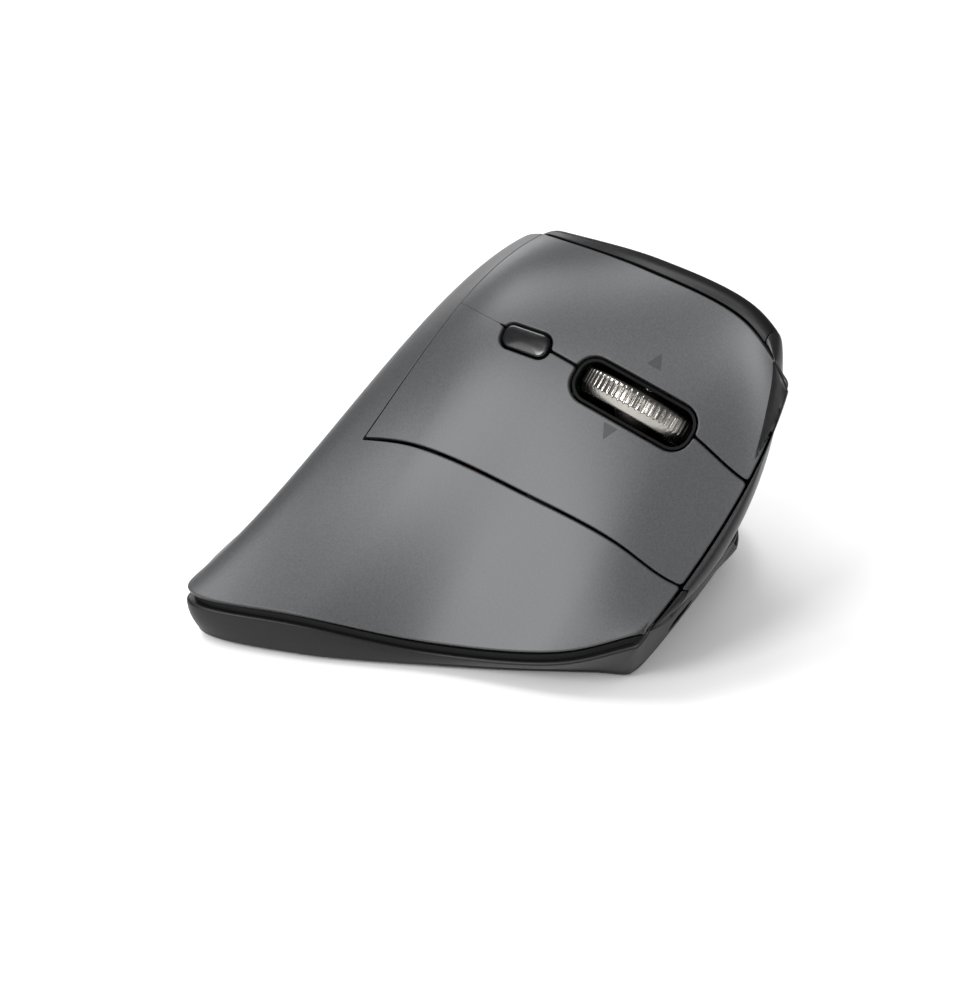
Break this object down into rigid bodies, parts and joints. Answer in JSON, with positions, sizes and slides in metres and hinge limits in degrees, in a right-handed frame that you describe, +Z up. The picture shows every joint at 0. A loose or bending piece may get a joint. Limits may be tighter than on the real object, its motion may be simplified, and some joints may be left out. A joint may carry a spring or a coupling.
{
  "type": "vertical computer mouse",
  "caption": "Right-handed vertical computer mouse: tilted grey hand shell with two long keys, ribbed metal scroll wheel, pill button, thumb buttons, black thumb side and base on glide pads.",
  "frame": {"origin": "on the desk plane under the middle of the object's bounding box", "axes": "+Z up from the desk, +Y towards the nose, +X towards the little finger"},
  "size_m": [0.1019, 0.1036, 0.066],
  "materials": {
    "shell_grey": "satin metallic paint",
    "body_black": "fine matte texture",
    "gloss_black": "gloss",
    "wheel_metal": "polished knurl",
    "steel": "bright",
    "inner_black": "moulded",
    "inner_white": "moulded",
    "circuit_board": "solder mask",
    "lens_clear": "clear",
    "cell_foil": "foil pouch",
    "wire": "sleeve",
    "cable_film": "film",
    "glide": "low-friction pad"
  },
  "bodies": {
    "body": {"top_shell": "shell_grey", "thumb_shell": "body_black", "front_panel": "body_black", "rim_band": "inner_black", "base_shell": "body_black", "wheel_springs": "steel", "wheel_bezel": "inner_black", "deck_frame": "inner_black", "deck_board": "circuit_board", "hinge_rod": "steel", "left_switch": "inner_black", "right_switch": "inner_black", "wheel_click_switch": "inner_black", "dpi_switch": "inner_black", "thumb_board": "circuit_board", "thumb_switches": "inner_black", "main_board": "circuit_board", "sensor_chip": "inner_black", "sensor_lens": "lens_clear", "battery_cell": "cell_foil", "usb_port": "steel", "ribbon_cable": "cable_film", "battery_lead": "wire", "power_switch": "steel", "pair_switch": "inner_black", "glide_feet": "glide", "case_screws": "steel", "board_screws": "steel"},
    "left_key": {"left_button": "shell_grey"},
    "right_key": {"right_button": "shell_grey"},
    "left_plunger": {"left_plunger": "inner_white"},
    "right_plunger": {"right_plunger": "inner_white"},
    "dpi_key": {"dpi_button": "gloss_black", "dpi_plunger": "inner_white"},
    "forward_key": {"forward_button": "gloss_black", "forward_plunger": "inner_white"},
    "back_key": {"back_button": "gloss_black", "back_plunger": "inner_white"},
    "carrier": {"wheel_carrier": "inner_black", "encoder_body": "inner_black", "wheel_click_plunger": "inner_white"},
    "wheel": {"wheel_rim": "wheel_metal", "wheel_hub": "wheel_metal", "wheel_axle": "steel", "encoder_rotor": "inner_white"},
    "power_knob": {"power_slider": "inner_white"},
    "pair_key": {"pair_button": "body_black", "pair_plunger": "inner_white"}
  },
  "joints": [
    {"name": "left_press", "type": "hinge", "parent": "body", "child": "left_key", "pos_m": [-0.01139, -0.00744, 0.04859], "axis": [-0.6769, 0.0831, 0.7314], "range_deg": [0, 1]},
    {"name": "right_press", "type": "hinge", "parent": "body", "child": "right_key", "pos_m": [-0.01139, -0.00744, 0.04859], "axis": [-0.6769, 0.0831, 0.7314], "range_deg": [0, 1]},
    {"name": "left_snap", "type": "slide", "parent": "body", "child": "left_plunger", "axis": [-0.7094, -0.3387, -0.6181], "range_m": [0, 0.00063]},
    {"name": "right_snap", "type": "slide", "parent": "body", "child": "right_plunger", "axis": [-0.7094, -0.3387, -0.6181], "range_m": [0, 0.00063]},
    {"name": "dpi_press", "type": "slide", "parent": "body", "child": "dpi_key", "axis": [-0.7342, -0.1468, -0.6629], "range_m": [0, 0.0004]},
    {"name": "forward_press", "type": "slide", "parent": "body", "child": "forward_key", "axis": [1, 0, 0], "range_m": [0, 0.0005]},
    {"name": "back_press", "type": "slide", "parent": "body", "child": "back_key", "axis": [1, 0, 0], "range_m": [0, 0.0005]},
    {"name": "wheel_click", "type": "slide", "parent": "body", "child": "carrier", "axis": [-0.7094, -0.3387, -0.6181], "range_m": [0, 0.0005], "deforming": ["wheel_springs"]},
    {"name": "wheel_spin", "type": "hinge", "parent": "carrier", "child": "wheel", "pos_m": [-0.01377, 0.02441, 0.04276], "axis": [0.6769, -0.0831, -0.7314], "continuous": true},
    {"name": "power_slide", "type": "slide", "parent": "body", "child": "power_knob", "axis": [0, 1, 0], "range_m": [-0.002, 0.002]},
    {"name": "pair_press", "type": "slide", "parent": "body", "child": "pair_key", "axis": [0, 0, 1], "range_m": [0, 0.0003]}
  ],
  "couplings": [
    {"joint": "left_snap", "follows": "left_press", "m_per_rad": 0.0358},
    {"joint": "right_snap", "follows": "right_press", "m_per_rad": 0.0358}
  ]
}
